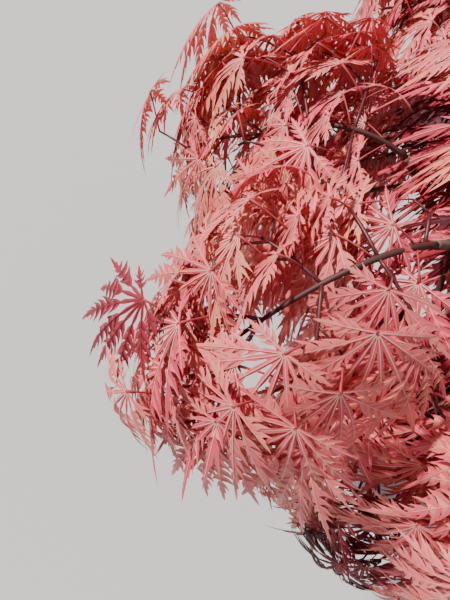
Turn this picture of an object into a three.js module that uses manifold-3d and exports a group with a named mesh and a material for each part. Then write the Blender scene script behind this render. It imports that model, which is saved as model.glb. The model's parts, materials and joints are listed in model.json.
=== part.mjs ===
// A young weeping laceleaf maple in a plain round nursery pot.
// Millimetres, +Z up, origin at the centre of the pot's flat underside. Azimuth 0 is +X and 90 is +Y.
import * as THREE from "three";
import { mergeVertices } from "three/addons/utils/BufferGeometryUtils.js";
import Module from "manifold-3d";

const wasm = await Module();
wasm.setup();

// Driving dimensions. Heights are above the ground.
const CLEAR = 0.3; // gap between neighbouring pieces
const POT = {
  height: 200,
  baseRadius: 90,
  topRadius: 113,
  wall: 2,
  floor: 3,
  rimHeight: 22,
  rimStep: 5,
  sides: 64,
  drains: 6,
  drainRadius: 7,
};
const SOIL = { belowRim: 22, mound: 5, moundRadius: 70, flatRadius: 34 };
const soilTop = POT.height - SOIL.belowRim + SOIL.mound;
const TRUNK = {
  foot: soilTop + CLEAR,
  tip: 640,
  footRadius: 20,
  neckRadius: 12.5,
  tipRadius: 4,
  graftHeight: 255,
  graftSwell: 2.6,
  lean: 24,
  sway: 10,
  leanAzimuth: 205,
  rings: 16,
  sides: 12,
};
const BOUGHS = {
  azimuths: [28, 96, 160, 202, 262, 324],
  starts: [425, 500, 455, 535, 480, 515], // where each leaves the trunk, going round
  lift: 34,
  radii: [6.6, 3],
  rings: 8,
  sides: 7,
};

// The masses of foliage: distance of the centre from the axis, its height, and the half sizes of the space
// that it keeps to, outwards, sideways and upwards. Fan is the turn of each shoot from the way outwards.
// The lists go round with the boughs: the fourth bears a long narrow spray, and the crown is lowest at the
// fifth. Widths are shares of the shoots' length.
const CREST = {
  azimuth: 25,
  reach: 6,
  height: 688,
  space: [360, 360, 150],
  fan: [-60, 120, 60, -120, 0, 180, 90, -90, 150, -30],
  shoot: 92,
  budget: 2300,
  rise: 0.3,
  hang: [0, 0.28],
};
const OUTER = {
  reaches: [242, 246, 244, 258, 228, 240],
  heights: [618, 608, 614, 650, 600, 610],
  widths: [1.06, 1.06, 1, 0.6, 1, 1.06],
  space: [150, 174, 112],
  fan: [-124, 124, -92, 92, -62, 62, -28, 28],
  shoot: 108,
  rise: 0.45,
  hang: [0.1, 0.6],
  stemShort: 116, // from the bough's tip to the centre
  stemRise: 22,
};
const SKIRT = {
  turns: [24, 10, -10, 30, 20, 20], // from the bough's azimuth
  reaches: [206, 206, 206, 206, 202, 206],
  height: 496,
  space: [144, 174, 138],
  fan: [-88, 88, -64, 64, -32, 32],
  shoot: 100,
  rise: 0.05,
  hang: [0.4, 1.2],
  start: 0.86, // along the bough
};

const STEM = { radii: [2.3, 1.3], nodes: [0.08, 0.84], rings: 5, fall: 0.12, stretch: 0.1 };
const SHOOT = { radii: [1.3, 0.9], droop: 0.3, leafNodes: [1, 0.78, 0.55, 0.35, 0.15], rings: 3 };
const LEAF = {
  length: 102,
  lobeAngle: 37,
  lobeShares: [0.64, 0.9, 1, 0.9, 0.64],
  notchShare: 0.36,
  thickness: 2.6,
  petiole: [20, 36],
  petioleRadius: 1,
  curl: 0.4,
  budget: 76, // triangles that a leaf may add to its mass
  massBudget: 1240, // or the mass's own
  // Tried in turn until one finds its place: large leaves first, then smaller ones to fill between them.
  rounds: [
    [1.04, 1, 1, 0.96, 0.92, 0.88],
    [0.9, 0.86, 0.82, 0.78, 0.74, 0.7, 0.66],
  ],
};
const LIMB_GAP = 6; // from a leaf to a limb
const SLIVER = 0.08; // details below this go from each joined solid
const SPACE_GAP = 0.05; // from a leaf to the next mass, in shares of the spaces' size

const UP = new THREE.Vector3(0, 0, 1);
const radians = THREE.MathUtils.degToRad;
const mix = THREE.MathUtils.lerp;

// A point from its distance to the axis, azimuth in degrees and height.
function polar(reach, azimuth, z) {
  const a = radians(azimuth);
  return new THREE.Vector3(reach * Math.cos(a), reach * Math.sin(a), z);
}

// A repeatable sequence of numbers from 0 to 1, started by a whole number.
function sequence(seed) {
  let state = seed >>> 0;
  return () => {
    state = (Math.imul(state, 1664525) + 1013904223) >>> 0;
    return state / 4294967296;
  };
}

// A closed geometry as a solid for joining and cutting.
function solidOf(geometry) {
  const bare = geometry.clone();
  bare.deleteAttribute("normal");
  bare.deleteAttribute("uv");
  const merged = mergeVertices(bare, 1e-3);
  return new wasm.Manifold(
    new wasm.Mesh({
      numProp: 3,
      vertProperties: merged.attributes.position.array,
      triVerts: new Uint32Array(merged.index.array),
    }),
  );
}

// The largest body of a solid as a geometry, without the slivers that joining leaves: loose scraps and
// sealed hollows are left behind.
function geometryOf(solid) {
  const bodies = solid.simplify(SLIVER).decompose().sort((a, b) => b.volume() - a.volume());
  const mesh = bodies[0].getMesh();
  const geometry = new THREE.BufferGeometry();
  geometry.setAttribute("position", new THREE.BufferAttribute(mesh.vertProperties, 3));
  geometry.setIndex(new THREE.BufferAttribute(mesh.triVerts, 1));
  geometry.computeVertexNormals();
  return geometry;
}

// Whether every edge lies between exactly two triangles once the points are rounded.
function isClosed(geometry) {
  const { position } = geometry.attributes;
  const keyOf = (i) => [position.getX(i), position.getY(i), position.getZ(i)].map((v) => v.toFixed(3)).join();
  const keys = Array.from({ length: position.count }, (_, i) => keyOf(i));
  const uses = new Map();
  const { array } = geometry.index;
  for (let i = 0; i < array.length; i += 3)
    for (let k = 0; k < 3; k++) {
      const [a, b] = [keys[array[i + k]], keys[array[i + ((k + 1) % 3)]]];
      if (a === b) continue;
      const edge = a < b ? `${a} ${b}` : `${b} ${a}`;
      uses.set(edge, (uses.get(edge) || 0) + 1);
    }
  return [...uses.values()].every((count) => count === 2);
}

function solidFrom(positions, triangles) {
  return new wasm.Manifold(
    new wasm.Mesh({
      numProp: 3,
      vertProperties: new Float32Array(positions.flatMap((p) => [p.x, p.y, p.z])),
      triVerts: new Uint32Array(triangles.flat()),
    }),
  );
}

// A closed tube of flat sides along a curve, whose radius at each ring comes from radiusAt.
function limb(curve, radiusAt, rings, sides, grow = 0) {
  const positions = [];
  const triangles = [];
  let across = null;
  for (let i = 0; i < rings; i++) {
    const t = i / (rings - 1);
    const along = curve.getTangent(t);
    across = (across || new THREE.Vector3(1, 0.2, 0.1)).clone();
    across.addScaledVector(along, -across.dot(along)).normalize();
    const over = new THREE.Vector3().crossVectors(along, across);
    const centre = curve.getPoint(t);
    if (i === 0) centre.addScaledVector(along, -grow);
    if (i === rings - 1) centre.addScaledVector(along, grow);
    const radius = radiusAt(t) + grow;
    for (let k = 0; k < sides; k++) {
      const a = (2 * Math.PI * k) / sides;
      const point = centre.clone().addScaledVector(across, radius * Math.cos(a));
      positions.push(point.addScaledVector(over, radius * Math.sin(a)));
    }
  }
  for (let i = 0; i + 1 < rings; i++)
    for (let k = 0; k < sides; k++) {
      const a = i * sides + k;
      const b = i * sides + ((k + 1) % sides);
      triangles.push([a, b, b + sides], [a, b + sides, a + sides]);
    }
  const last = (rings - 1) * sides;
  for (let k = 1; k + 1 < sides; k++)
    triangles.push([0, k + 1, k], [last, last + k, last + k + 1]);
  return solidFrom(positions, triangles);
}

// A taper between two radii, for a limb.
const taper = ([from, to]) => (t) => mix(from, to, t);

// Pot, open at the top, with a stepped rim and drain holes round the edge of its floor.
function potGeometry() {
  const { height, baseRadius, topRadius, wall, floor, rimHeight, rimStep, sides } = POT;
  const radiusAt = (z) => mix(baseRadius, topRadius, z / height);
  const shoulder = height - rimHeight;
  const profile = [
    [0, 0],
    [baseRadius - 3, 0],
    [radiusAt(4), 4],
    [radiusAt(shoulder), shoulder],
    [radiusAt(shoulder) + rimStep, shoulder + 2],
    [topRadius + rimStep, height - 2],
    [topRadius + rimStep - 1.5, height],
    [topRadius + rimStep - 3.5, height],
    [topRadius - wall, height - 5],
    [radiusAt(floor) - wall, floor],
    [0, floor],
  ].map(([r, z]) => new THREE.Vector2(r, z));
  const shell = new THREE.LatheGeometry(profile, sides).rotateX(Math.PI / 2);
  let solid = solidOf(shell);
  if (solid.volume() < 0) throw new Error("the pot's profile runs the wrong way");
  for (let i = 0; i < POT.drains; i++) {
    const drill = new THREE.CylinderGeometry(POT.drainRadius, POT.drainRadius, 4 * floor, 12);
    const at = polar(baseRadius * 0.78, (360 * (i + 0.5)) / POT.drains, floor / 2);
    drill.rotateX(Math.PI / 2).translate(at.x, at.y, at.z);
    solid = solid.subtract(solidOf(drill));
  }
  return geometryOf(solid);
}

// Soil that fills the pot to a little below its rim, with a low mound round the trunk.
function soilGeometry() {
  const { height, baseRadius, topRadius, wall, floor, sides } = POT;
  const wallAt = (z) => mix(baseRadius, topRadius, z / height) - wall - 2 * CLEAR;
  const edge = height - SOIL.belowRim;
  const profile = [
    [0, floor + CLEAR],
    [wallAt(floor), floor + CLEAR],
    [wallAt(edge), edge],
    [SOIL.moundRadius, edge + 1],
    [SOIL.flatRadius, soilTop],
    [0, soilTop],
  ].map(([r, z]) => new THREE.Vector2(r, z));
  return new THREE.LatheGeometry(profile, sides).rotateX(Math.PI / 2);
}

// The trunk's centre line leans one way and sways a little across it.
class TrunkLine extends THREE.Curve {
  getPoint(t, target = new THREE.Vector3()) {
    const height = mix(TRUNK.foot, TRUNK.tip, t);
    const shift = polar(TRUNK.lean * t ** 1.4, TRUNK.leanAzimuth, height);
    const swing = polar(TRUNK.sway * Math.sin(Math.PI * 1.5 * t) * t, TRUNK.leanAzimuth + 90, 0);
    return target.copy(shift).add(swing);
  }
}
const trunkLine = new TrunkLine();
const trunkShare = (height) => (height - TRUNK.foot) / (TRUNK.tip - TRUNK.foot);

// Root flare at the foot, a swelling at the graft, then an even taper to the leader's tip.
function trunkRadius(t) {
  const height = mix(TRUNK.foot, TRUNK.tip, t);
  const flare = (TRUNK.footRadius - TRUNK.neckRadius) * Math.exp((TRUNK.foot - height) / 14);
  const graft = TRUNK.graftSwell * Math.exp(-(((height - TRUNK.graftHeight) / 16) ** 2));
  return mix(TRUNK.neckRadius, TRUNK.tipRadius, t) + flare + graft;
}

// A limb that leaves its parent steeply and levels off towards its tip.
function archLine(from, to, lift) {
  const mid = from.clone().lerp(to, 0.42);
  mid.z = mix(from.z, to.z, 0.42) + lift;
  return new THREE.QuadraticBezierCurve3(from, mid, to);
}

const root = new THREE.Group();
const bark = new THREE.MeshStandardMaterial({ color: 0x5e4338, roughness: 0.8, metalness: 0 });
const shootBark = new THREE.MeshStandardMaterial({ color: 0x5a2a2a, roughness: 0.6, metalness: 0 });
const foliage = new THREE.MeshStandardMaterial({ color: 0xd0605c, roughness: 0.6, metalness: 0 });
const potPlastic = new THREE.MeshStandardMaterial({ color: 0x17181b, roughness: 0.45, metalness: 0 });
const compost = new THREE.MeshStandardMaterial({ color: 0x33261d, roughness: 0.95, metalness: 0 });

function add(name, geometry, material) {
  const mesh = new THREE.Mesh(geometry, material);
  mesh.name = name;
  root.add(mesh);
}

// Every limb made so far, with its centre line for the leaves' test and its grown solid for the cuts.
const limbs = [];

// Makes a limb, cuts it clear of the limbs that it grows from and stands beside, and adds it.
function addLimb(name, curve, radiusAt, rings, sides, material, parents) {
  let solid = limb(curve, radiusAt, rings, sides);
  for (const parent of parents) solid = solid.subtract(parent.grown);
  const made = { name, curve, radiusAt, grown: limb(curve, radiusAt, rings, sides, CLEAR) };
  limbs.push(made);
  add(name, geometryOf(solid), material);
  return made;
}

// The masses: each starts at a limb's tip and keeps to an ellipsoid round its centre.
const masses = [];
function addMass(name, azimuth, reach, height, kind, start) {
  const out = polar(1, azimuth, 0);
  const side = polar(1, azimuth + 90, 0);
  const centre = polar(reach, azimuth, height);
  masses.push({ ...kind, name, azimuth, start, out, side, centre, seed: 100 + masses.length });
}

// The trunk, which ends in the crest, and its boughs, which each end in an outer mass and one that hangs
// below it.
function growLimbs() {
  const trunk = addLimb("trunk", trunkLine, trunkRadius, TRUNK.rings, TRUNK.sides, bark, []);
  addMass("foliage_crest", CREST.azimuth, CREST.reach, CREST.height, CREST, trunkLine.getPoint(1));
  const boughs = [];
  BOUGHS.starts.forEach((start, i) => {
    const azimuth = BOUGHS.azimuths[i];
    const [reach, height] = [OUTER.reaches[i], OUTER.heights[i]];
    const tip = polar(reach - OUTER.stemShort, azimuth, height + OUTER.stemRise);
    const line = archLine(trunkLine.getPoint(trunkShare(start)), tip, BOUGHS.lift);
    const { radii, rings, sides } = BOUGHS;
    const bough = addLimb(`bough_${i + 1}`, line, taper(radii), rings, sides, bark, [trunk, ...boughs]);
    boughs.push(bough);
    const outer = { ...OUTER, shoot: OUTER.shoot * OUTER.widths[i] };
    addMass(`foliage_outer_${i + 1}`, azimuth, reach, height, outer, tip);
    const below = line.getPoint(SKIRT.start);
    const turned = azimuth + SKIRT.turns[i];
    addMass(`foliage_skirt_${i + 1}`, turned, SKIRT.reaches[i], SKIRT.height, SKIRT, below);
  });
}

// How far a point is from a mass's centre, squared, in shares of its space: 1 is the edge.
function share(mass, point) {
  const from = point.clone().sub(mass.centre);
  const [a, b, c] = mass.space;
  return (from.dot(mass.out) / a) ** 2 + (from.dot(mass.side) / b) ** 2 + (from.z / c) ** 2;
}

// True where every point is in the mass's own space, nearer to it than to the others.
function keepsTo(mass, points) {
  return points.every((point) => {
    const own = share(mass, point);
    if (own > 1) return false;
    return masses.every((other) => other === mass || share(other, point) > own + SPACE_GAP);
  });
}

const STEPS = 16;
function touchesLimb(points) {
  return limbs.some(({ curve, radiusAt }) => {
    for (let i = 0; i <= STEPS; i++) {
      const centre = curve.getPoint(i / STEPS);
      const reach = radiusAt(i / STEPS) + LIMB_GAP + 2;
      if (points.some((point) => point.distanceTo(centre) < reach)) return true;
    }
    return false;
  });
}

// A leaf's own axes: it faces up and outwards, and its middle lobe hangs forwards.
function leafFrame(palm, forward, face) {
  const ahead = forward.clone().normalize();
  const normal = face.clone().addScaledVector(ahead, -face.dot(ahead)).normalize();
  return { palm, ahead, normal, across: new THREE.Vector3().crossVectors(normal, ahead) };
}

// A point on the leaf's plane, bent down by the square of its distance from the palm.
function leafPoint(frame, size, angle, distance) {
  const a = radians(angle);
  const drop = (LEAF.curl * distance ** 2) / size;
  return frame.palm
    .clone()
    .addScaledVector(frame.ahead, distance * Math.cos(a))
    .addScaledVector(frame.across, distance * Math.sin(a))
    .addScaledVector(frame.normal, -drop);
}

// One leaf with its stalk, as a closed star: the stalk's three edges run into the palm's two shoulders and
// its lower face.
function leafSolid(frame, size, foot) {
  const { ahead, across, normal, palm } = frame;
  const outline = [leafPoint(frame, size, -155, 0.06 * size)];
  LEAF.lobeShares.forEach((reach, i) => {
    const angle = (i - 2) * LEAF.lobeAngle;
    outline.push(leafPoint(frame, size, angle, reach * size));
    if (i < 4) outline.push(leafPoint(frame, size, angle + LEAF.lobeAngle / 2, LEAF.notchShare * size));
  });
  outline.push(leafPoint(frame, size, 155, 0.06 * size));
  const above = palm.clone().addScaledVector(normal, LEAF.thickness / 2);
  const below = palm.clone().addScaledVector(normal, -LEAF.thickness / 2);
  const stalk = palm.clone().sub(foot).normalize();
  const flat = across.clone().addScaledVector(stalk, -across.dot(stalk)).normalize();
  const under = new THREE.Vector3().crossVectors(stalk, flat);
  if (under.dot(normal) > 0) under.negate();
  const r = LEAF.petioleRadius;
  const ends = [
    foot.clone().addScaledVector(flat, -r).addScaledVector(under, -r * 0.6),
    foot.clone().addScaledVector(flat, r).addScaledVector(under, -r * 0.6),
    foot.clone().addScaledVector(under, r * 1.2),
  ];
  const n = outline.length;
  const [UPPER, LOWER, LEFT, RIGHT, KEEL] = [n, n + 1, n + 2, n + 3, n + 4];
  const triangles = [];
  for (let i = 0; i + 1 < n; i++) triangles.push([UPPER, i, i + 1], [LOWER, i + 1, i]);
  triangles.push([UPPER, n - 1, 0]);
  triangles.push([LEFT, 0, n - 1], [LEFT, n - 1, RIGHT], [RIGHT, n - 1, LOWER], [RIGHT, LOWER, KEEL]);
  triangles.push([KEEL, LOWER, 0], [KEEL, 0, LEFT], [LEFT, RIGHT, KEEL]);
  return solidFrom([...outline, above, below, ...ends], triangles);
}

// The lines of a mass: its stem, a fan of shoots along it and one more at its end.
function shootsOf(mass, roll) {
  const [a, , c] = mass.space;
  const end = mass.centre
    .clone()
    .addScaledVector(mass.out, STEM.stretch * a)
    .addScaledVector(UP, -STEM.fall * c);
  const over = mass.start.clone().lerp(mass.centre, 0.55).addScaledVector(UP, mass.rise * c);
  const stem = new THREE.QuadraticBezierCurve3(mass.start, over, end);
  const shoots = [];
  const shoot = (from, direction, length) => {
    const ahead = direction.clone().normalize();
    const bend = from.clone().addScaledVector(ahead, length * 0.55);
    const tip = from.clone().addScaledVector(ahead, length).addScaledVector(UP, -SHOOT.droop * length);
    shoots.push({ line: new THREE.QuadraticBezierCurve3(from, bend, tip), ahead, length });
  };
  mass.fan.forEach((turn, i) => {
    const t = mix(...STEM.nodes, Math.floor(i / 2) / Math.floor(mass.fan.length / 2 - 0.5));
    const ahead = polar(1, mass.azimuth + turn + 16 * (roll() - 0.5), 0.35 * (roll() - 0.35));
    shoot(stem.getPoint(t), ahead, mass.shoot * (1.1 - 0.35 * t) * (0.85 + 0.3 * roll()));
  });
  shoot(stem.getPoint(0.99), stem.getTangent(1), mass.shoot * 0.6);
  return { stem, shoots };
}

// Points all over a leaf, its stalk among them, for the tests on where it may lie.
function leafPoints(frame, size, foot) {
  const points = [frame.palm, foot.clone().lerp(frame.palm, 0.6)];
  LEAF.lobeShares.forEach((reach, i) => {
    const angle = (i - 2) * LEAF.lobeAngle;
    for (const part of [0.35, 0.68, 1]) points.push(leafPoint(frame, size, angle, part * reach * size));
    if (i < 4) points.push(leafPoint(frame, size, angle + LEAF.lobeAngle / 2, LEAF.notchShare * size));
  });
  return points;
}

// A leaf at a foot on a shoot: turn says on which side, or 0 for the one that ends the shoot. It hangs away
// from the crown's axis and the shoot's foot. Null where it would leave the mass's space or touch a limb.
function leafAt(mass, shoot, foot, turn, fit, roll) {
  const sideways = new THREE.Vector3().crossVectors(UP, shoot.ahead).normalize();
  const away = foot.clone().setZ(0).normalize().add(shoot.ahead).setZ(0).normalize();
  const stalk = shoot.ahead
    .clone()
    .multiplyScalar(0.6)
    .addScaledVector(sideways, turn * (0.4 + 0.7 * roll()))
    .addScaledVector(UP, 1.1 * roll())
    .normalize();
  const palm = foot.clone().addScaledVector(stalk, fit * mix(...LEAF.petiole, roll()));
  const forward = stalk
    .clone()
    .setZ(0)
    .multiplyScalar(0.15 + 0.5 * roll())
    .addScaledVector(away, 0.7)
    .addScaledVector(UP, -mix(...mass.hang, roll()));
  const tilt = 0.5 * (roll() - 0.5);
  const face = UP.clone().addScaledVector(away, 0.5).addScaledVector(sideways, tilt);
  const frame = leafFrame(palm, forward, face);
  const size = fit * LEAF.length * (0.9 + 0.2 * roll());
  const points = leafPoints(frame, size, foot);
  return keepsTo(mass, points) && !touchesLimb(points) ? leafSolid(frame, size, foot) : null;
}

// Grows a mass leaf by leaf. A leaf that finds no place in a few tries is skipped, and a shoot without
// leaves is left out. A leaf may touch others, but not cut through them so that they shatter.
function massGeometry(mass) {
  const roll = sequence(mass.seed);
  const { stem, shoots } = shootsOf(mass, roll);
  let whole = limb(stem, taper(STEM.radii), STEM.rings, 3).subtract(limbSpace);
  for (const sizes of LEAF.rounds)
    for (const u of SHOOT.leafNodes)
      for (const shoot of shoots.toReversed())
        for (const turn of u < 1 ? [-1, 1] : [0]) {
          const foot = shoot.line.getPoint(u * 0.97);
          for (const fit of sizes) {
            if (whole.numTri() > (mass.budget || LEAF.massBudget)) break;
            const leaf = leafAt(mass, shoot, foot, turn, fit, roll);
            if (!leaf) continue;
            const twig = shoot.bears ? [] : [limb(shoot.line, taper(SHOOT.radii), SHOOT.rings, 3)];
            const held = wasm.Manifold.union([whole, ...twig]);
            const next = held.add(leaf).subtract(limbSpace);
            if (next.numTri() > held.numTri() + LEAF.budget || !isClosed(geometryOf(next))) continue;
            whole = next;
            shoot.bears = true;
            break;
          }
        }
  return geometryOf(whole);
}

add("pot", potGeometry(), potPlastic);
add("soil", soilGeometry(), compost);
growLimbs();
const limbSpace = wasm.Manifold.union(limbs.map(({ grown }) => grown));
for (const mass of masses) add(mass.name, massGeometry(mass), foliage);

export default root;
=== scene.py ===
"""A young weeping laceleaf maple in a round nursery pot.

Lengths are millimetres until a mesh is made, heights start at the pot's flat underside, and azimuth 0 is +X,
90 is +Y.
"""

import json
import math

import bpy
import numpy as np
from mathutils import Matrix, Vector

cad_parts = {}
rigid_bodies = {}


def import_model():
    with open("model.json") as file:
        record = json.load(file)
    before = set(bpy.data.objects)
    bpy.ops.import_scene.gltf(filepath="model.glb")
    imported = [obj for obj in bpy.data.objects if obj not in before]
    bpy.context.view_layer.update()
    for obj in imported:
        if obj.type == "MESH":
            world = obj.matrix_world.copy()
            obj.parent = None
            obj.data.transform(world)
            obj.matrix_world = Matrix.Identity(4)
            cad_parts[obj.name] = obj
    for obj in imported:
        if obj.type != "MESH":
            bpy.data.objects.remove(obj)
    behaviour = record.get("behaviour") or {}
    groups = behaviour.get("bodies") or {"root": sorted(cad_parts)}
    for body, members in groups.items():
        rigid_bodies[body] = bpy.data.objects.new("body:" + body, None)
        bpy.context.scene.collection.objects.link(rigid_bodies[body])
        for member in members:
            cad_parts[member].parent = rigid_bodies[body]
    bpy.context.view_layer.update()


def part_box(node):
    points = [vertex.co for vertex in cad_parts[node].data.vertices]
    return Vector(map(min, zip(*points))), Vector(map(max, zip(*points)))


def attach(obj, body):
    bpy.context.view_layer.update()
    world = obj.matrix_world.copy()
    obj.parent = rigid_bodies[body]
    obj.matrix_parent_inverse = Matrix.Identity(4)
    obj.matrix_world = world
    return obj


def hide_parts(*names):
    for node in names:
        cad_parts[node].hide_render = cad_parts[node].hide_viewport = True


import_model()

# The plant's driving sizes, the same as its solids have.
POT_HEIGHT = 200
POT_FOOT = 90
POT_MOUTH = 113
POT_WALL = 2
RIM_HEIGHT = 22
RIM_STEP = 5
SOIL_EDGE = POT_HEIGHT - 22
SOIL_TOP = SOIL_EDGE + 5
TRUNK = dict(foot=SOIL_TOP + 0.3, tip=640, lean=24, sway=10)
# Its radii at the root flare, above it and at the tip, and the height and size of the graft's swelling.
TRUNK.update(flare=20, neck=12.5, end=4, graft=255, swell=2.6)
LEAN_AZIMUTH = 205
# Heights at which the boughs leave the trunk, how high they arch, and their radii at foot and tip.
BOUGH_STARTS = [425, 500, 455, 535, 480, 515]
BOUGH_LIFT = 34
BOUGH_RADII = (6.6, 3)
BOUGH_AZIMUTHS = [28, 96, 160, 202, 262, 324]
# A mass has the half lengths of its space (outwards, across, up), a length of shoot, a rise of its stem and
# a range for the hang of its leaves. Its fan gives the turns of its shoots from its azimuth.
CREST = dict(azimuth=25, reach=6, height=688, space=(360, 360, 150), shoot=92, rise=0.3, hang=(0.1, 0.8))
CREST["fan"] = [-60, 120, 60, -120, 0, 180, 90, -90, 150, -30]
OUTER = dict(space=(150, 174, 112), shoot=108, rise=0.45, hang=(0.4, 1.5))
OUTER["fan"] = [-124, 124, -92, 92, -62, 62, -28, 28]
OUTER_REACHES = [242, 246, 244, 258, 228, 240]
OUTER_HEIGHTS = [618, 608, 614, 650, 600, 610]
OUTER_WIDTHS = [1.06, 1.06, 1, 0.6, 1, 1.06]
# A bough ends this far short of its mass's centre, and this far above it.
STEM_SHORT = 116
STEM_RISE = 22
SKIRT = dict(space=(144, 174, 138), shoot=100, rise=0.05, hang=(0.6, 1.8))
SKIRT["fan"] = [-88, 88, -64, 64, -32, 32]
# The skirts turn from their boughs by SKIRT_TURNS, and leave them at SKIRT_START, a share of the bough.
SKIRT_TURNS = [24, 10, -10, 30, 20, 20]
SKIRT_REACHES = [206, 206, 206, 206, 202, 206]
SKIRT_HEIGHT = 496
SKIRT_START = 0.86
STEM_RADII = (2.3, 1.2)
SHOOT_RADII = (1.3, 0.8)
TWIG_RADII = (0.85, 0.55)
UP = np.array([0.0, 0.0, 1.0])


# Small tools for directions, curves and repeatable chance.
def polar(reach, azimuth, z):
    """The point at a distance from the axis, an azimuth in degrees and a height."""
    a = math.radians(azimuth)
    return np.array([reach * math.cos(a), reach * math.sin(a), z])


def unit(vectors):
    """Each vector divided by its length."""
    vectors = np.asarray(vectors, float)
    return vectors / np.maximum(np.linalg.norm(vectors, axis=-1, keepdims=True), 1e-9)


def mix(a, b, t):
    """The value that lies between a and b by the share t."""
    return a + (b - a) * t


def sequence(seed):
    """The solids' repeatable numbers from 0 to 1, so that the stems and shoots here are theirs."""
    state = seed
    while True:
        state = (state * 1664525 + 1013904223) % 2**32
        yield state / 2**32


def arc(start, over, end, t):
    """A curve from start to end that is drawn towards over: the sum of the three points, weighted by the
    square of 1-t, by 2t(1-t) and by the square of t."""
    t = np.atleast_1d(t)[:, None]
    return start * (1 - t) ** 2 + over * 2 * t * (1 - t) + end * t**2


def trunk_line(t):
    """The trunk's centre: it leans by the 1.4th power of the height and swings across by a growing sine."""
    t = np.atleast_1d(t)
    lean = (TRUNK["lean"] * t**1.4)[:, None] * polar(1, LEAN_AZIMUTH, 0)
    swing = (TRUNK["sway"] * np.sin(np.pi * 1.5 * t) * t)[:, None] * polar(1, LEAN_AZIMUTH + 90, 0)
    return lean + swing + mix(TRUNK["foot"], TRUNK["tip"], t)[:, None] * UP


def trunk_radius(t):
    """An even taper, plus a flare that dies away over 14 mm and a swelling round the graft."""
    height = mix(TRUNK["foot"], TRUNK["tip"], t)
    flare = (TRUNK["flare"] - TRUNK["neck"]) * np.exp((TRUNK["foot"] - height) / 14)
    graft = TRUNK["swell"] * np.exp(-(((height - TRUNK["graft"]) / 16) ** 2))
    return mix(TRUNK["neck"], TRUNK["end"], t) + flare + graft


# Meshes.
def new_piece(name, points, faces, materials, tones=None, smooth=True):
    """A mesh from points in millimetres and faces of one size; tones gives each face's material."""
    mesh = bpy.data.meshes.new(name)
    mesh.vertices.add(len(points))
    mesh.vertices.foreach_set("co", (np.asarray(points, float) / 1000).ravel())
    mesh.loops.add(faces.size)
    mesh.loops.foreach_set("vertex_index", faces.astype(np.int32).ravel())
    mesh.polygons.add(len(faces))
    mesh.polygons.foreach_set("loop_start", np.arange(0, faces.size, faces.shape[1], dtype=np.int32))
    for material in materials:
        mesh.materials.append(material)
    if tones is not None:
        mesh.polygons.foreach_set("material_index", np.asarray(tones, np.int32))
    mesh.polygons.foreach_set("use_smooth", np.full(len(faces), smooth))
    mesh.update(calc_edges=True)
    piece = bpy.data.objects.new(name, mesh)
    bpy.context.scene.collection.objects.link(piece)
    return piece


def grid_faces(rows, columns, closed):
    """The four-sided faces between the neighbours of a grid, whose columns may close into a ring."""
    a = np.arange(rows - 1)[:, None] * columns
    k = np.arange(columns if closed else columns - 1)
    n = (k + 1) % columns
    return np.stack([a + k, a + n, a + n + columns, a + k + columns], axis=-1).reshape(-1, 4)


def tube(line, radii, sides, relief=None):
    """Points and faces of a tube: a ring of the given radius across each point of the line, times the relief
    of its row and side, and a last ring drawn to a point at each end."""
    along = unit(np.gradient(line, axis=0))
    across = np.empty_like(line)
    guide = np.array([1, 0.2, 0.1])
    for i, direction in enumerate(along):
        guide = unit(guide - direction * guide.dot(direction))
        across[i] = guide
    over = np.cross(along, across)
    turn = 2 * np.pi * np.arange(sides) / sides
    reach = np.broadcast_to(np.asarray(radii, float)[:, None], (len(line), sides))
    if relief is not None:
        reach = reach * relief
    ring = across[:, None] * np.cos(turn)[:, None] + over[:, None] * np.sin(turn)[:, None]
    points = line[:, None] + ring * reach[..., None]
    ends = [np.repeat(line[:1, None], sides, 1), points, np.repeat(line[-1:, None], sides, 1)]
    points = np.concatenate(ends).reshape(-1, 3)
    return points, grid_faces(len(line) + 2, sides, True)


def gather(parts):
    """Several lots of points and faces as one."""
    starts = np.cumsum([0] + [len(points) for points, _ in parts[:-1]])
    points = np.concatenate([points for points, _ in parts])
    return points, np.concatenate([faces + start for (_, faces), start in zip(parts, starts)])


# Materials.
def linear(colour):
    """The linear colour of an sRGB hex value."""
    channels = [int(colour[i : i + 2], 16) / 255 for i in (1, 3, 5)]
    return (*[c / 12.92 if c <= 0.04045 else ((c + 0.055) / 1.055) ** 2.4 for c in channels], 1)


def new_material(name, colour, roughness, specular=0.5):
    """A material of one sRGB hex colour, roughness and specular level."""
    material = bpy.data.materials.new(name)
    material.use_nodes = True
    shader = material.node_tree.nodes["Principled BSDF"]
    shader.inputs["Base Color"].default_value = linear(colour)
    shader.inputs["Roughness"].default_value = roughness
    shader.inputs["Specular IOR Level"].default_value = specular
    return material


def add_node(material, kind, settings=None, inputs=None):
    """A node with its settings; an input is a value or another node's output."""
    tree = material.node_tree
    made = tree.nodes.new(kind)
    for name, value in (settings or {}).items():
        setattr(made, name, value)
    for name, value in (inputs or {}).items():
        if isinstance(value, bpy.types.NodeSocket):
            tree.links.new(value, made.inputs[name])
        else:
            made.inputs[name].default_value = value
    return made


def link(material, socket, name):
    """Feeds a node's output to the named input of the material's shader."""
    shader = material.node_tree.nodes["Principled BSDF"]
    material.node_tree.links.new(socket, shader.inputs[name])


def ramp(material, factor, stops):
    """A colour ramp of places and sRGB hex colours."""
    made = add_node(material, "ShaderNodeValToRGB", inputs={"Fac": factor})
    elements = made.color_ramp.elements
    while len(elements) < len(stops):
        elements.new(0.5)
    for element, (place, colour) in zip(elements, stops):
        element.position = place
        element.color = linear(colour)
    return made.outputs["Color"]


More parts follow.
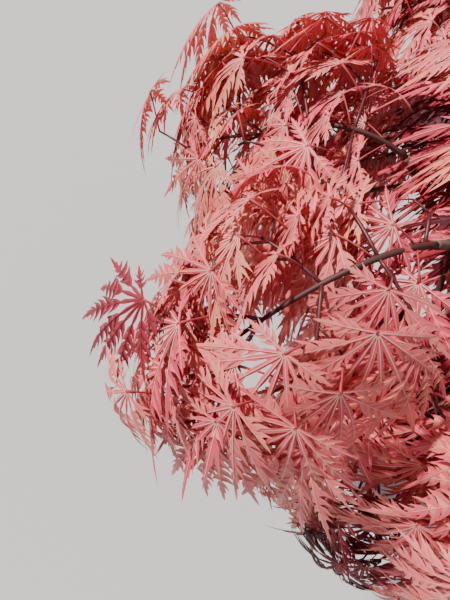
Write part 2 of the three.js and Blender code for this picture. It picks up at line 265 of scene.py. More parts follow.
# Injection-moulded polypropylene: satin black, greyed in soft patches by a little dust and scuffing.
moulded_black = new_material("moulded_polypropylene", "#1A1B1E", 0.42)
place = add_node(moulded_black, "ShaderNodeTexCoord").outputs["Object"]
dust = add_node(moulded_black, "ShaderNodeTexNoise", inputs={"Vector": place, "Scale": 22, "Detail": 6})
scuffs = add_node(moulded_black, "ShaderNodeTexNoise", inputs={"Vector": place, "Scale": 420, "Detail": 3})
stops = [(0.4, "#17181B"), (0.72, "#2B2A29")]
link(moulded_black, ramp(moulded_black, dust.outputs["Fac"], stops), "Base Color")
spread = {"From Min": 0.35, "From Max": 0.7, "To Min": 0.34, "To Max": 0.58}
sheen = add_node(moulded_black, "ShaderNodeMapRange", inputs={"Value": dust.outputs["Fac"], **spread})
link(moulded_black, sheen.outputs["Result"], "Roughness")
grain = add_node(
    moulded_black,
    "ShaderNodeBump",
    inputs={"Height": scuffs.outputs["Fac"], "Strength": 0.12, "Distance": 0.0004},
)
link(moulded_black, grain.outputs["Normal"], "Normal")

# Moist bark compost: dark crumbs 2 to 6 mm across, paler where a crumb has dried.
compost = new_material("moist_compost", "#2E2018", 0.92, 0.3)
place = add_node(compost, "ShaderNodeTexCoord").outputs["Object"]
crumbs = add_node(compost, "ShaderNodeTexVoronoi", inputs={"Vector": place, "Scale": 230})
damp = add_node(compost, "ShaderNodeTexNoise", inputs={"Vector": place, "Scale": 60, "Detail": 8})
stops = [(0.3, "#1B120D"), (0.52, "#33241A"), (0.75, "#5A4434")]
link(compost, ramp(compost, damp.outputs["Fac"], stops), "Base Color")
crumbly = add_node(
    compost,
    "ShaderNodeBump",
    inputs={"Height": crumbs.outputs["Distance"], "Strength": 0.7, "Distance": 0.002},
)
link(compost, crumbly.outputs["Normal"], "Normal")

# Dry bark chips lie on the compost: fibrous and a shade paler.
chip_bark = new_material("bark_chips", "#5B4030", 0.85, 0.3)
place = add_node(chip_bark, "ShaderNodeTexCoord").outputs["Object"]
fibre = add_node(chip_bark, "ShaderNodeTexNoise", inputs={"Vector": place, "Scale": 140, "Detail": 6})
stops = [(0.3, "#2C1D15"), (0.55, "#5B4030"), (0.8, "#8A6B50")]
link(chip_bark, ramp(chip_bark, fibre.outputs["Fac"], stops), "Base Color")

# Young maple bark: smooth and grey-brown, with fine upright streaks about 1 mm apart.
maple_bark = new_material("maple_bark", "#6B5245", 0.72, 0.35)
place = add_node(maple_bark, "ShaderNodeTexCoord").outputs["Object"]
drawn_out = {"Vector": place, "Scale": (1, 1, 0.12)}
upright = add_node(maple_bark, "ShaderNodeMapping", inputs=drawn_out).outputs["Vector"]
streaks = add_node(maple_bark, "ShaderNodeTexNoise", inputs={"Vector": upright, "Scale": 520, "Detail": 6})
patches = add_node(maple_bark, "ShaderNodeTexNoise", inputs={"Vector": upright, "Scale": 70, "Detail": 4})
both = add_node(
    maple_bark,
    "ShaderNodeMath",
    {"operation": "MULTIPLY_ADD"},
    {0: streaks.outputs["Fac"], 1: 0.5, 2: patches.outputs["Fac"]},
)
stops = [(0.45, "#3D2A24"), (0.7, "#6E5447"), (0.95, "#A08A77")]
link(maple_bark, ramp(maple_bark, both.outputs["Value"], stops), "Base Color")
furrows = add_node(
    maple_bark,
    "ShaderNodeBump",
    inputs={"Height": streaks.outputs["Fac"], "Strength": 0.35, "Distance": 0.0008},
)
link(maple_bark, furrows.outputs["Normal"], "Normal")

# The boughs' thinner bark is redder, as it is younger, with the same streaks.
bough_bark = maple_bark.copy()
bough_bark.name = "young_maple_bark"
young_ramp = next(n for n in bough_bark.node_tree.nodes if n.type == "VALTORGB").color_ramp
for element, colour in zip(young_ramp.elements, ("#35201D", "#5A3A33", "#866458")):
    element.color = linear(colour)

# The year's wood is smooth and wine red; last year's is browner.
young_wood = new_material("wine_red_wood", "#5A1F22", 0.45)
brown_wood = new_material("red_brown_wood", "#4E2C27", 0.6)

# Leaf tissue is matt with a faint wax. Each tone is dealt to whole sprays, leaves or parts of a lobe;
# brick, wine and maroon are dealt only as painted shade.
LEAF_TONES = {
    "coral": "#E55E6B",
    "rose": "#CE4759",
    "salmon": "#EC827B",
    "apricot": "#E88D70",
    "brick": "#A22E3C",
    "wine": "#6C1A27",
    "maroon": "#480F1A",
    "rib": "#F2AE9E",
    "stalk": "#B8444A",
}
leaf_materials = [new_material(f"leaf_{name}", colour, 0.55, 0.3) for name, colour in LEAF_TONES.items()]
TONE = {name: i for i, name in enumerate(LEAF_TONES)}
# The tones of a leaf: near the palm, on the lower sides of its teeth and on their upper sides. The two
# sides' tones differ to paint a lit and a shaded side, while the orange tints are the leaf's own. The first
# four schemes are for lit leaves, the next three paint half shade and the last two paint deep shade.
SHADED_SCHEME = 4
DEEP_SCHEME = 6
SCHEMES = [
    ("rose", "coral", "rose"),
    ("coral", "coral", "salmon"),
    ("coral", "apricot", "coral"),
    ("salmon", "coral", "apricot"),
    ("rose", "brick", "rose"),
    ("brick", "salmon", "rose"),
    ("brick", "wine", "brick"),
    ("wine", "maroon", "maroon"),
]
SCHEME_TONES = np.array([[TONE[name] for name in scheme] for scheme in SCHEMES])


# A leaf is cut to its palm into nine lobes, and each lobe into forward-pointing teeth.
LOBE_ANGLES = [0, 19, 38, 61, 94]
LOBE_SHARES = [1, 0.97, 0.87, 0.62, 0.32]
LOBE_TEETH = [5, 5, 5, 4, 3]
RIB_STEPS = 7
LEAF_SHAPES = 8
SHAPE_SEED = 40


def lobe(length, teeth, chance):
    """One lobe along +Y, in shares of the leaf: a grid of stations along it by left edge, midrib and right
    edge. The edge is a narrow wing up to the first tooth. Each tooth is a slender finger of four stations
    (sinus, lower edge, point, upper edge) that leans far forward, its reach under an arched envelope, and
    the lobe ends in a serrated tip."""
    first, last = mix(0.2, 0.26, chance.random()), 0.66
    pitch = (last - first) / teeth
    count = np.arange(teeth)[:, None]
    middle = first + pitch * (count + np.array([0, 0.25, 0.5, 0.78]))
    edges = []
    for _ in (-1, 1):
        envelope = 0.098 * (0.35 + 0.65 * np.sin(np.pi * (count + 0.9) / (teeth + 0.6)))
        envelope = envelope * (0.75 + 0.5 * chance.random((teeth, 1)))
        lean = np.array([0.3, 0.9, 2.2, 1.45]) * (0.9 + 0.2 * chance.random((teeth, 1)))
        forward = first + pitch * (count + lean)
        width = envelope * np.array([0.17, 0.62, 1, 0.5])
        edge_y = np.concatenate([[0, 0.12, 0.19], forward.ravel(), [0.7, 0.8, 0.81, 0.91, 1]])
        edge_x = np.concatenate([[0.013, 0.015, 0.019], width.ravel(), [0.022, 0.03, 0.016, 0.014, 0.002]])
        edges.append((edge_x, edge_y))
    axis = np.concatenate([[0, 0.12, 0.19], middle.ravel(), [0.68, 0.76, 0.82, 0.91, 1.01]])
    (left_x, left_y), (right_x, right_y) = edges
    x = np.stack([-left_x, 0 * axis, right_x], axis=1) * min(length**0.35, 1)
    y = np.stack([left_y, axis, right_y], axis=1) * length
    fold = mix(-0.55, 0.25, chance.random())
    z = fold * np.abs(x) - 1.2 * x**2 * (1 + chance.random())
    part = np.concatenate([[0, 0, 0], np.tile([1, 1, 2, 2], teeth)[2:], [2] * 6])
    return np.stack([x, y, z], axis=-1), np.repeat(part, 2)


def rib(length):
    """A raised midrib along +Y, a flat strip that narrows from the palm to the start of the tip."""
    t = np.linspace(0.02, 0.9, RIB_STEPS + 1)
    half = mix(0.0036, 0.0013, t)
    x = np.stack([-half, half], axis=1)
    y = np.repeat(t[:, None] * length, 2, axis=1)
    return np.stack([x, y, np.full_like(x, 0.004)], axis=-1)


def leaf_pattern(chance):
    """A flat leaf of size 1 with its palm at the origin: its lobes and ribs, turned to their angles. Kinds
    say where a face is: 0 by the palm, 1 on the lower side of a tooth, 2 on its upper side, 3 on a rib."""
    lots = []
    kinds = []
    for i in range(-4, 5):
        k = abs(i)
        angle = math.copysign(LOBE_ANGLES[k], i) + 6 * (chance.random() - 0.5)
        length = LOBE_SHARES[k] * (0.88 + 0.2 * chance.random())
        sag = mix(-0.36, 0.08, chance.random())
        side_bow = mix(-0.15, 0.15, chance.random())
        blade, part = lobe(length, LOBE_TEETH[k], chance)
        for grid, kind in ((blade, part), (rib(length), np.full(RIB_STEPS, 3))):
            a = math.radians(angle)
            x, y, z = grid[..., 0], grid[..., 1], grid[..., 2]
            bow = side_bow * y**2
            turned = [y * math.sin(a) + (x + bow) * math.cos(a), y * math.cos(a) - (x + bow) * math.sin(a)]
            points = np.stack([*turned, z + sag * y**2 + 0.0004 * i], axis=-1).reshape(-1, 3)
            faces = grid_faces(grid.shape[0], grid.shape[1], False)
            lots.append((points, faces))
            kinds.append(kind)
    points, faces = gather(lots)
    return points, faces, np.concatenate(kinds)


PATTERNS = [leaf_pattern(np.random.default_rng(SHAPE_SEED + i)) for i in range(LEAF_SHAPES)]
# Points of a leaf that are tested for its room: lobe tips, half-way points and the palm.
PROBE_ANGLES = np.radians([-a for a in LOBE_ANGLES[:0:-1]] + LOBE_ANGLES)
PROBE_SHARES = np.array(LOBE_SHARES[:0:-1] + LOBE_SHARES)
PROBES = np.concatenate(
    [
        np.zeros((1, 3)),
        *[
            np.stack([np.sin(PROBE_ANGLES), np.cos(PROBE_ANGLES), 0 * PROBE_ANGLES], axis=1)
            * (PROBE_SHARES * part)[:, None]
            for part in (0.5, 1)
        ],
    ]
)


def bent(flat, leaf):
    """A flat leaf's points where they lie: it bends back from its face, and hangs, by the square of the
    distance from its palm."""
    far = (flat[:, :2] ** 2).sum(axis=1)[:, None]
    spread = flat[:, :1] * leaf["across"] + flat[:, 1:2] * leaf["ahead"]
    bend = (flat[:, 2:3] - leaf["curl"] * far) * leaf["face"] - leaf["sag"] * far * UP
    return leaf["palm"] + leaf["size"] * (spread + bend)


# The masses of foliage and the lines that bear them. Each mass has a seed for its lines, counted from the
# first, for its tones and its leaves' shapes the same with a step added, and one for its leaves' places.
FIRST_SEED = 100
TONE_SEED_STEP = 500
SHAPE_SEED_STEP = 900
LEAF_SEEDS = [206, 101, 102, 209, 204, 238, 249, 228, 215, 209, 110, 111, 112]
LIMB_STEPS = 40
# How far leaves may go past their solid's box towards the trunk and on all sides, and how near to a limb.
INWARD = 40
BOX_SLACK = 8
LIMB_CLEARANCE = 5


def new_mass(name, azimuth, reach, height, kind, start, index):
    """A mass of a kind, with its centre, its directions outwards and sideways, its seeds and its box."""
    mass = dict(kind, name=name, azimuth=azimuth, start=start)
    mass["seed"] = FIRST_SEED + index
    mass["leaf_seed"] = LEAF_SEEDS[index]
    mass["out"] = polar(1, azimuth, 0)
    mass["side"] = polar(1, azimuth + 90, 0)
    mass["centre"] = polar(reach, azimuth, height)
    low, high = np.array(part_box(name)) * 1000
    if name != "foliage_crest":
        low[:2] -= INWARD * (mass["out"][:2] > 0)
        high[:2] += INWARD * (mass["out"][:2] <= 0)
    mass["box"] = low - BOX_SLACK, high + BOX_SLACK
    return mass


limbs = []
steps = np.linspace(0, 1, LIMB_STEPS)
trunk = trunk_line(steps)
limbs.append((trunk, trunk_radius(steps)))
masses = [new_mass("foliage_crest", CREST["azimuth"], CREST["reach"], CREST["height"], CREST, trunk[-1], 0)]
bough_lines = []
for i, start in enumerate(BOUGH_STARTS):
    azimuth = BOUGH_AZIMUTHS[i]
    reach, height = OUTER_REACHES[i], OUTER_HEIGHTS[i]
    tip = polar(reach - STEM_SHORT, azimuth, height + STEM_RISE)
    foot = trunk_line((start - TRUNK["foot"]) / (TRUNK["tip"] - TRUNK["foot"]))[0]
    over = mix(foot, tip, 0.42) + BOUGH_LIFT * UP
    bough_lines.append((foot, over, tip))
    limbs.append((arc(foot, over, tip, steps), mix(*BOUGH_RADII, steps)))
    outer = dict(OUTER, shoot=OUTER["shoot"] * OUTER_WIDTHS[i])
    masses.append(new_mass(f"foliage_outer_{i + 1}", azimuth, reach, height, outer, tip, len(masses)))
    below = arc(foot, over, tip, SKIRT_START)[0]
    turned = azimuth + SKIRT_TURNS[i]
    name = f"foliage_skirt_{i + 1}"
    masses.append(new_mass(name, turned, SKIRT_REACHES[i], SKIRT_HEIGHT, SKIRT, below, len(masses)))

limb_points = np.concatenate([line for line, _ in limbs])
limb_reach = np.concatenate([radius for _, radius in limbs]) + LIMB_CLEARANCE


def share(mass, points):
    """How far points are from a mass's centre, squared, in shares of its space."""
    away = points - mass["centre"]
    a, b, c = mass["space"]
    return (away @ mass["out"] / a) ** 2 + (away @ mass["side"] / b) ** 2 + (away[:, 2] / c) ** 2


# The crown is open on either side of its fourth bough: no leaf comes near these two slanting lines.
NOTCHES = [(polar(300, 183, 665), polar(318, 175, 590)), (polar(216, 225, 705), polar(240, 231, 640))]
NOTCH_REACH = 30
# A leaf may reach a little past its mass's space, and into the part that is nearer to another mass.
OWN_SHARE = 1.05
SHARE_SLACK = 0.5


def in_notch(points):
    """Whether points lie near a notch's line: their distance from the nearest place on it, along which
    their share is kept from 0 to 1."""
    near = np.zeros(len(points), bool)
    for start, end in NOTCHES:
        along = end - start
        t = np.clip((points - start) @ along / along.dot(along), 0, 1)
        near |= np.linalg.norm(points - start - t[:, None] * along, axis=1) < NOTCH_REACH
    return near


def has_room(mass, points):
    """Whether a leaf stays in its mass's space and box, nearer to it than to the others, out of the notches
    and off the limbs."""
    low, high = mass["box"]
    if (points < low).any() or (points > high).any():
        return False
    here = share(mass, points)
    if (here > OWN_SHARE).any() or in_notch(points).any():
        return False
    if any((share(other, points) < here - SHARE_SLACK).any() for other in masses if other is not mass):
        return False
    gaps = np.linalg.norm(points[:, None] - limb_points, axis=2)
    return (gaps > limb_reach).all()


# Steps along a stem and along a shoot or twig, and the steps of the latter that bear buds.
STEM_STEPS = 24
SHOOT_STEPS = 10
BUDS = np.array([0, 0, 1, 0, 0, 1, 0, 1, 0, 0])
BUD_SWELL = 0.22
# The shares of a shoot at which its twigs leave it, and the share of its length by which a shoot or twig
# drops.
TWIG_PLACES = (0.3, 0.62)
SHOOT_DROP = 0.3


def mass_lines(mass):
    """A mass's stem, its fan of shoots as the solids have them, and finer twigs that leave each shoot in
    opposite pairs. Each line is its points, its radii and its way ahead."""
    chance = sequence(mass["seed"])
    a, _, c = mass["space"]
    end = mass["centre"] + 0.1 * a * mass["out"] - 0.12 * c * UP
    over = mix(mass["start"], mass["centre"], 0.55) + mass["rise"] * c * UP
    stem = arc(mass["start"], over, end, np.linspace(0, 1, STEM_STEPS))
    shoots = []

    def grow(foot, ahead, length, radii):
        """A shoot or twig that sets out ahead from its foot and drops as it goes."""
        ahead = unit(ahead)
        tip = foot + ahead * length - SHOOT_DROP * length * UP
        t = np.linspace(0, 1, SHOOT_STEPS)
        line = arc(foot, foot + ahead * length * 0.55, tip, t)
        return dict(line=line, radii=mix(*radii, t), ahead=ahead, length=length)

    pairs = math.floor(len(mass["fan"]) / 2 - 0.5)
    for i, turn in enumerate(mass["fan"]):
        t = mix(0.08, 0.84, i // 2 / pairs)
        turned = turn + 16 * (next(chance) - 0.5)
        ahead = polar(1, mass["azimuth"] + turned, 0.35 * (next(chance) - 0.35))
        length = mass["shoot"] * (1.1 - 0.35 * t) * (0.85 + 0.3 * next(chance))
        shoots.append(grow(arc(mass["start"], over, end, t)[0], ahead, length, SHOOT_RADII))
    last = unit(stem[-1] - stem[-2])
    shoots.append(grow(stem[-1], last, mass["shoot"] * 0.6, SHOOT_RADII))
    twigs = []
    for shoot in shoots:
        side = unit(np.cross(UP, shoot["ahead"]))
        for place in TWIG_PLACES:
            step = round(place * (SHOOT_STEPS - 1))
            for hand in (-1, 1):
                foot = shoot["line"][step]
                ahead = shoot["ahead"] * 0.7 + side * hand * (0.6 + 0.5 * next(chance))
                ahead = ahead + UP * (0.5 * next(chance) - 0.1)
                length = shoot["length"] * (0.42 + 0.25 * next(chance))
                twigs.append(dict(grow(foot, ahead, length, TWIG_RADII), parent=shoot, step=step))
    radii = mix(*STEM_RADII, np.linspace(0, 1, STEM_STEPS))
    stem = dict(line=stem, radii=radii, ahead=unit(stem[-1] - stem[0]))
    return stem, shoots, twigs


# How many leaves a mass has at most, the length of a leaf's middle lobe and the least gap between two palms.
LEAVES_A_MASS = {"foliage_crest": 105, "foliage_outer_4": 36}
LEAVES_ELSEWHERE = 40
LEAF_SIZE = 94
PALM_SPACING = 21
# The shares of a line at which leaves stand: a pair at each, or a single one at the end of the line.
STEM_SITES = (0.12, 0.36, 0.6)
SHOOT_SITES = (1, 0.74, 0.48, 0.22)
TWIG_SITES = (1, 0.5)
# Sizes that a leaf tries, the length of its stalk, and how far it curls back and sags.
FITS = np.linspace(1.06, 0.72, 15)
STALK = (20, 38)
STALK_RADII = [0.75, 0.6, 0.6, 1.1]
CURL = (0.15, 0.5)
SAG = (0.1, 0.45)
# A place far from every palm, for the first leaf to keep its distance from.
FAR_BELOW = (0, 0, -999)
grown = []


def grow_leaves(mass, stem, shoots, twigs, most):
    """Leaves in opposite pairs along the stem, shoots and twigs and one at each free end, until the mass has
    its most. Each tries a few sizes and turns, and is skipped where none of them has room. It hangs away
    from the axis and from the foot of its line, and faces up and outwards."""
    chance = np.random.default_rng(mass["leaf_seed"])
    sites = []
    lines = [(stem, STEM_SITES)]
    lines += [(shoot, SHOOT_SITES) for shoot in shoots] + [(twig, TWIG_SITES) for twig in twigs]
    for line, places in lines:
        for place in places:
            step = round(place * (len(line["line"]) - 1))
            sites += [(line, line["line"][step], hand, step) for hand in ([0] if place == 1 else [-1, 1])]
    # The outer sites come a little earlier, as they carry the crown's outline.
    sites.sort(key=lambda site: -share(mass, site[1][None])[0] - 2 * chance.random())
    leaves = []
    palms = np.array([leaf["palm"] for leaf in grown] + [FAR_BELOW])
    for line, foot, hand, step in sites:
        sideways = unit(np.cross(UP, line["ahead"]))
        away = unit((unit(foot * [1, 1, 0]) + line["ahead"]) * [1, 1, 0])
        for fit in FITS:
            stalk = line["ahead"] * 0.6 + sideways * hand * (0.4 + 0.7 * chance.random())
            stalk = unit(stalk + 0.9 * chance.random() * UP)
            palm = foot + stalk * fit * mix(*STALK, chance.random())
            spread = (0.15 + 0.5 * chance.random()) * stalk * [1, 1, 0]
            ahead = unit(spread + 0.7 * away - mix(*mass["hang"], chance.random()) * UP)
            face = UP + 0.6 * away + 1.1 * (chance.random() - 0.5) * sideways
            face = unit(face - face.dot(ahead) * ahead)
            leaf = dict(palm=palm, ahead=ahead, face=face, across=np.cross(ahead, face), foot=foot)
            leaf["size"] = fit * LEAF_SIZE * mix(0.9, 1.08, chance.random())
            leaf["curl"] = mix(*CURL, chance.random())
            leaf["sag"] = mix(*SAG, chance.random())
            leaf["line"] = line
            leaf["step"] = step
            apart = np.linalg.norm(palms - palm, axis=1).min() > PALM_SPACING
            if apart and has_room(mass, bent(PROBES, leaf)):
                leaves.append(leaf)
                palms = np.vstack([palms, palm])
                break
        if len(leaves) >= most:
            break
    return leaves


def trim(leaves, stem, shoots, twigs):
    """How much of each line is used: a shoot or twig ends at its last leaf or twig, so that none is bare at
    its end. The stem stays whole."""
    for line in [stem, *shoots, *twigs]:
        line["used"] = 0
    for leaf in leaves:
        leaf["line"]["used"] = max(leaf["line"]["used"], leaf["step"])
    for twig in twigs:
        if twig["used"]:
            twig["parent"]["used"] = max(twig["parent"]["used"], twig["step"])


# A leaf gets painted half shade or painted deep shade from these darknesses on. Few of the latter are
# painted darkest of all.
HALF_SHADE = 0.3
DEEP_SHADE = 0.44
DARKEST_CHANCE = 0.3


def deal_tones(mass, leaves):
    """Each leaf's scheme: by its spray's leaning where it is lit, and by its darkness of painted shade, a
    weighted sum of how low it hangs, how near the axis, how far under its mass's centre, and chance."""
    chance = np.random.default_rng(mass["seed"] + TONE_SEED_STEP)
    sprays = {}
    for leaf in leaves:
        lean = sprays.setdefault(id(leaf["line"]), chance.random())
        low = np.clip((640 - leaf["palm"][2]) / 260, 0, 1)
        inner = np.clip((190 - np.hypot(*leaf["palm"][:2])) / 160, 0, 1)
        under = np.clip((mass["centre"][2] + 25 - leaf["palm"][2]) / 70, 0, 1)
        painted_shade = 0.4 * low + 0.3 * inner + 0.45 * under + 0.6 * (chance.random() - 0.45)
        if painted_shade > DEEP_SHADE:
            scheme = DEEP_SCHEME + int(chance.random() < DARKEST_CHANCE)
        elif painted_shade > HALF_SHADE:
            scheme = SHADED_SCHEME + int(chance.random() * 3)
        else:
            scheme = int(SHADED_SCHEME * np.clip(0.6 * lean + 0.55 * chance.random() - 0.05, 0, 0.99))
        leaf["scheme"] = scheme


def leaf_piece(mass, leaves):
    """All of a mass's leaves and their stalks as one piece."""
    chance = np.random.default_rng(mass["seed"] + SHAPE_SEED_STEP)
    lots = []
    tones = []
    for leaf in leaves:
        points, faces, kinds = PATTERNS[int(chance.integers(len(PATTERNS)))]
        lots.append((bent(points, leaf), faces))
        scheme = SCHEME_TONES[leaf["scheme"]]
        # The ribs of leaves in painted deep shade are painted brick as well.
        rib_tone = TONE["rib"] if leaf["scheme"] < DEEP_SCHEME else TONE["brick"]
        tones.append(np.append(scheme, rib_tone)[kinds])
        over = mix(leaf["foot"], leaf["palm"], 0.55) + 3 * UP
        steps = np.linspace(0, 1, len(STALK_RADII))
        stalk = arc(leaf["foot"], over, leaf["palm"] + 0.3 * leaf["face"], steps)
        made = tube(stalk, STALK_RADII, 4)
        lots.append(made)
        tones.append(np.full(len(made[1]), TONE["stalk"]))
    points, faces = gather(lots)
    name = mass["name"].replace("foliage", "leaves")
    return new_piece(name, points, faces, leaf_materials, np.concatenate(tones))


def twig_piece(mass, stem, shoots, twigs):
    """A mass's stem, shoots and twigs as one piece, thickened a little at each pair of buds."""
    lots = [tube(stem["line"], stem["radii"], 8)]
    tones = [np.full(len(lots[0][1]), 1)]
    knots = 1 + BUD_SWELL * BUDS
    for line in shoots + twigs:
        used = line["used"] + 1
        lots.append(tube(line["line"][:used], (line["radii"] * knots)[:used], 6))
        tones.append(np.zeros(len(lots[-1][1]), int))
    points, faces = gather(lots)
    name = mass["name"].replace("foliage", "twigs")
    return new_piece(name, points, faces, [young_wood, brown_wood], np.concatenate(tones))


def own(piece, slot, *nodes):
    """Puts a finished piece on the body and hides the nodes that it stands for. Its slot is not used."""
    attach(piece, "root")
    if nodes:
        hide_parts(*nodes)


for mass in masses:
    stem, shoots, twigs = mass_lines(mass)
    most = LEAVES_A_MASS.get(mass["name"], LEAVES_ELSEWHERE)
    leaves = grow_leaves(mass, stem, shoots, twigs, most)
    grown += leaves
    deal_tones(mass, leaves)
    trim(leaves, stem, shoots, twigs)
    shoots, twigs = ([line for line in lines if line["used"]] for lines in (shoots, twigs))
    own(leaf_piece(mass, leaves), "foliage", mass["name"])
    own(twig_piece(mass, stem, shoots, twigs), "foliage", mass["name"])


# Trunk and boughs with their bark's relief.
def bark_relief(rows, sides, seed, depth, buttress):
    """Low upright ridges: three sines of the turn that drift up the limb, and a wider one at the foot."""
    chance = np.random.default_rng(seed)
    row = np.linspace(0, 1, rows)[:, None]
    turn = 2 * np.pi * np.arange(sides) / sides
    relief = np.ones((rows, sides))
    for waves in (3, 7, 13):
        drift = chance.random() * 6 + (2 + 3 * chance.random()) * row
        relief += depth / math.sqrt(waves) * np.sin(waves * turn + drift + 2 * np.sin(9 * row + waves))
    return relief + buttress * np.exp(-row * 30) * np.cos(4 * turn + 1)


TRUNK_ROWS = 220
TRUNK_SIDES = 72
TRUNK_SINK = 4
BOUGH_ROWS = 70
BOUGH_SIDES = 28
KNOT_PLACES = (0.3, 0.48, 0.64, 0.78, 0.9)

t = np.linspace(0, 1, TRUNK_ROWS)
line = trunk_line(t)
radius = trunk_radius(t)
heights = line[:, 2]
# The lowest ring is sunk into the compost, so that no gap shows under the trunk.
line[0, 2] -= TRUNK_SINK
for start in BOUGH_STARTS:
    radius = radius + 1.3 * np.exp(-(((heights - start) / 9) ** 2))
trunk_mesh = tube(line, radius, TRUNK_SIDES, bark_relief(TRUNK_ROWS, TRUNK_SIDES, 3, 0.035, 0.12))
own(new_piece("trunk_bark", *trunk_mesh, [maple_bark]), "bark", "trunk")
t = np.linspace(0, 1, BOUGH_ROWS)
knots = sum(np.exp(-(((t - place) / 0.012) ** 2)) for place in KNOT_PLACES)
for i, (foot, over, tip) in enumerate(bough_lines):
    radius = mix(*BOUGH_RADII, t) * (1 + 0.14 * knots + 0.35 * np.exp(-t * 14))
    relief = bark_relief(BOUGH_ROWS, BOUGH_SIDES, 20 + i, 0.03, 0)
    bough_mesh = tube(arc(foot, over, tip, t), radius, BOUGH_SIDES, relief)
    own(new_piece(f"bough_bark_{i + 1}", *bough_mesh, [bough_bark]), "bark", f"bough_{i + 1}")


# Pot: a moulded shell with a stepped rim, two fine lines under it and a raised foot.
POT_SIDES = 128
LINE_HEIGHTS = (150, 158)
LINE_DEPTH = 0.7
DRAINS = 6
DRAIN_RADIUS = 7
DRAIN_REACH = POT_FOOT * 0.78


def lathe(profile, sides):
    """Points and faces of a profile of radii and heights turned round the axis."""
    profile = np.asarray(profile, float)
    turn = 2 * np.pi * np.arange(sides) / sides
    ring = np.stack([np.cos(turn), np.sin(turn)], axis=1)
    flat = profile[:, None, :1] * ring
    heights = np.broadcast_to(profile[:, None, 1:], (len(profile), sides, 1))
    return np.concatenate([flat, heights], axis=2).reshape(-1, 3), grid_faces(len(profile), sides, True)


def rounded(corners, radius, steps=4):
    """A profile whose corners are cut back by the radius and rounded with an arc between."""
    corners = np.asarray(corners, float)
    out = [corners[:1]]
    for before, corner, after in zip(corners, corners[1:], corners[2:]):
        back, on = before - corner, after - corner
        cut = min(radius, np.linalg.norm(back) * 0.45, np.linalg.norm(on) * 0.45)
        start, end = corner + unit(back) * cut, corner + unit(on) * cut
        out.append(arc(start, corner, end, np.linspace(0, 1, steps)))
    return np.concatenate(out + [corners[-1:]])


def wall_at(z):
    """The radius of the pot's outside at a height: an even taper from foot to mouth."""
    return mix(POT_FOOT, POT_MOUTH, z / POT_HEIGHT)


shoulder = POT_HEIGHT - RIM_HEIGHT
outside = [(0.01, 0.8), (POT_FOOT - 12, 0.8), (POT_FOOT - 9, 0), (POT_FOOT - 1, 0), (wall_at(5), 5)]
for z in LINE_HEIGHTS:
    outside += [(wall_at(z - 1), z - 1), (wall_at(z) + LINE_DEPTH, z), (wall_at(z + 1), z + 1)]
outside += [(wall_at(shoulder), shoulder), (wall_at(shoulder) + RIM_STEP, shoulder + 2)]
outside += [(POT_MOUTH + RIM_STEP, POT_HEIGHT), (POT_MOUTH + RIM_STEP - 4, POT_HEIGHT)]
inside = [(POT_MOUTH - POT_WALL, POT_HEIGHT - 5), (wall_at(3) - POT_WALL, 3), (0.01, 3)]
pot = new_piece("moulded_pot", *lathe(rounded(outside + inside, 1.4), POT_SIDES), [moulded_black])
points, faces = lathe([(0.01, -5), (DRAIN_RADIUS, -5), (DRAIN_RADIUS, 9), (0.01, 9)], 32)
drills = [(points + polar(DRAIN_REACH, 360 / DRAINS * (i + 0.5), 0), faces) for i in range(DRAINS)]
drill = new_piece("drain_drill", *gather(drills), [moulded_black], smooth=False)
for piece in (pot, drill):
    piece.data.validate()
    weld = piece.modifiers.new("weld", "WELD")
    weld.merge_threshold = 0.00003
cut = pot.modifiers.new("drains", "BOOLEAN")
cut.object = drill
cut.solver = "EXACT"
bpy.context.view_layer.update()
finished = bpy.data.meshes.new_from_object(pot.evaluated_get(bpy.context.evaluated_depsgraph_get()))
pot.modifiers.clear()
pot.data = finished
bpy.data.objects.remove(drill)
own(pot, "pot", "pot")


# Compost: a lumpy surface that falls a little from the trunk to the pot's wall, with chips of bark on it.
def lumps(x, y):
    """A gentle roughness of the compost in millimetres: crossed waves of uneven lengths."""
    coarse = np.sin(x / 9 + 1.3 * np.sin(y / 13)) * np.sin(y / 8 + 1.1 * np.sin(x / 11))
    fine = np.sin(x / 3.1 + 2 * np.sin(y / 4.3)) * np.sin(y / 2.7 + 2 * np.sin(x / 3.7))
    return 1.1 * coarse + 0.7 * fine


def compost_height(radius):
    """The compost's height at a distance from the axis: level round the trunk, then falling to the wall."""
    return np.interp(radius, [0, 34, 70, edge_radius], [SOIL_TOP, SOIL_TOP, SOIL_TOP - 4, SOIL_EDGE])


SOIL_SIDES = 160
SOIL_GAP = 0.6
CHIPS = 420
CHIPS_INSIDE = 26
CHIP_SEED = 7
edge_radius = wall_at(SOIL_EDGE) - POT_WALL - SOIL_GAP
reach = np.concatenate([[0.01], np.linspace(3, edge_radius, 80)])
profile = np.stack([reach, compost_height(reach)], axis=1)
wall = [(edge_radius, SOIL_EDGE - 2), (wall_at(3) - POT_WALL - SOIL_GAP, 3.3), (0.01, 3.3)]
points, faces = lathe(np.concatenate([profile, wall]), SOIL_SIDES)
top = np.repeat(np.arange(len(profile) + len(wall)) < len(profile), SOIL_SIDES)
fade = np.clip(np.hypot(points[:, 0], points[:, 1]) / 8 - 1, 0, 1)
points[:, 2] += np.where(top, lumps(points[:, 0], points[:, 1]) * fade - 0.8, 0)
soil = new_piece("compost", points, faces[:, ::-1], [compost])
own(soil, "soil", "soil")

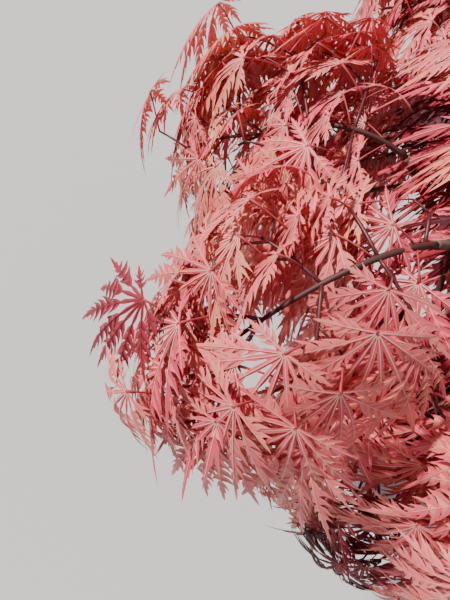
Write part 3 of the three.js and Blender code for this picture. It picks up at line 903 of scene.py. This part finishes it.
# A chip is a skewed block. They lie evenly over the ring between the trunk's foot and the wall.
chance = np.random.default_rng(CHIP_SEED)
chips = []
block = np.array([[x, y, z] for x in (-1, 1) for y in (-1, 1) for z in (-1, 1)], float) / 2
block_faces = np.array([[0, 1, 3, 2], [4, 6, 7, 5], [0, 4, 5, 1], [2, 3, 7, 6], [0, 2, 6, 4], [1, 5, 7, 3]])
for _ in range(CHIPS):
    radius = math.sqrt(mix(CHIPS_INSIDE**2, (edge_radius - 8) ** 2, chance.random()))
    at = polar(radius, 360 * chance.random(), 0)
    length = mix(4, 13, chance.random() ** 2)
    width = mix(2.5, 6, chance.random())
    size = np.array([length, width, mix(0.9, 2.4, chance.random())])
    turn, tip = chance.random() * math.tau, 0.5 * (chance.random() - 0.5)
    ahead = np.array([math.cos(turn), math.sin(turn), tip])
    side = unit(np.cross(UP, ahead))
    axes = np.stack([unit(ahead), side, unit(np.cross(ahead, side))])
    height = compost_height(radius) + lumps(at[0], at[1]) - 0.2
    skew = block * size * (1 + 0.35 * (chance.random((8, 3)) - 0.5))
    chips.append((skew @ axes + at + height * UP, block_faces))
own(new_piece("bark_mulch", *gather(chips), [chip_bark], smooth=False), "soil")


# Stage, light and view.
FLOOR_REACH = 4000
floor_material = new_material("pale_floor", "#C9C8C6", 0.85, 0.2)
corners = np.array([[x * FLOOR_REACH, y * FLOOR_REACH, -1] for x, y in ((-1, -1), (1, -1), (1, 1), (-1, 1))])
floor = new_piece("floor", corners, np.array([[0, 1, 2, 3]]), [floor_material], smooth=False)

world = bpy.data.worlds.new("studio")
bpy.context.scene.world = world
world.use_nodes = True
world.node_tree.nodes["Background"].inputs["Color"].default_value = linear("#F2F4F7")
world.node_tree.nodes["Background"].inputs["Strength"].default_value = 0.28


def sun(name, azimuth, elevation, strength, softness, colour):
    """A distant light that comes from an azimuth and elevation, with its softness as an angle."""
    data = bpy.data.lights.new(name, "SUN")
    data.energy = strength
    data.angle = math.radians(softness)
    data.color = linear(colour)[:3]
    light = bpy.data.objects.new(name, data)
    light.rotation_euler = (math.radians(90 - elevation), 0, math.radians(azimuth + 90))
    bpy.context.scene.collection.objects.link(light)


sun("key", 142, 54, 6, 3, "#FFFCFA")
sun("fill", 335, 45, 0.45, 60, "#EEF3FF")

CAMERA_PLACE = (-0.255, -0.190, 0.900)
LOOKING_DOWN = 66
LENS = 27.06
camera_data = bpy.data.cameras.new("camera")
camera_data.lens = LENS
camera_data.sensor_width = 36
camera_data.clip_start = 0.01
camera = bpy.data.objects.new("camera", camera_data)
camera.location = CAMERA_PLACE
camera.rotation_euler = (math.radians(90 - LOOKING_DOWN), 0, 0)
bpy.context.scene.collection.objects.link(camera)
bpy.context.scene.camera = camera
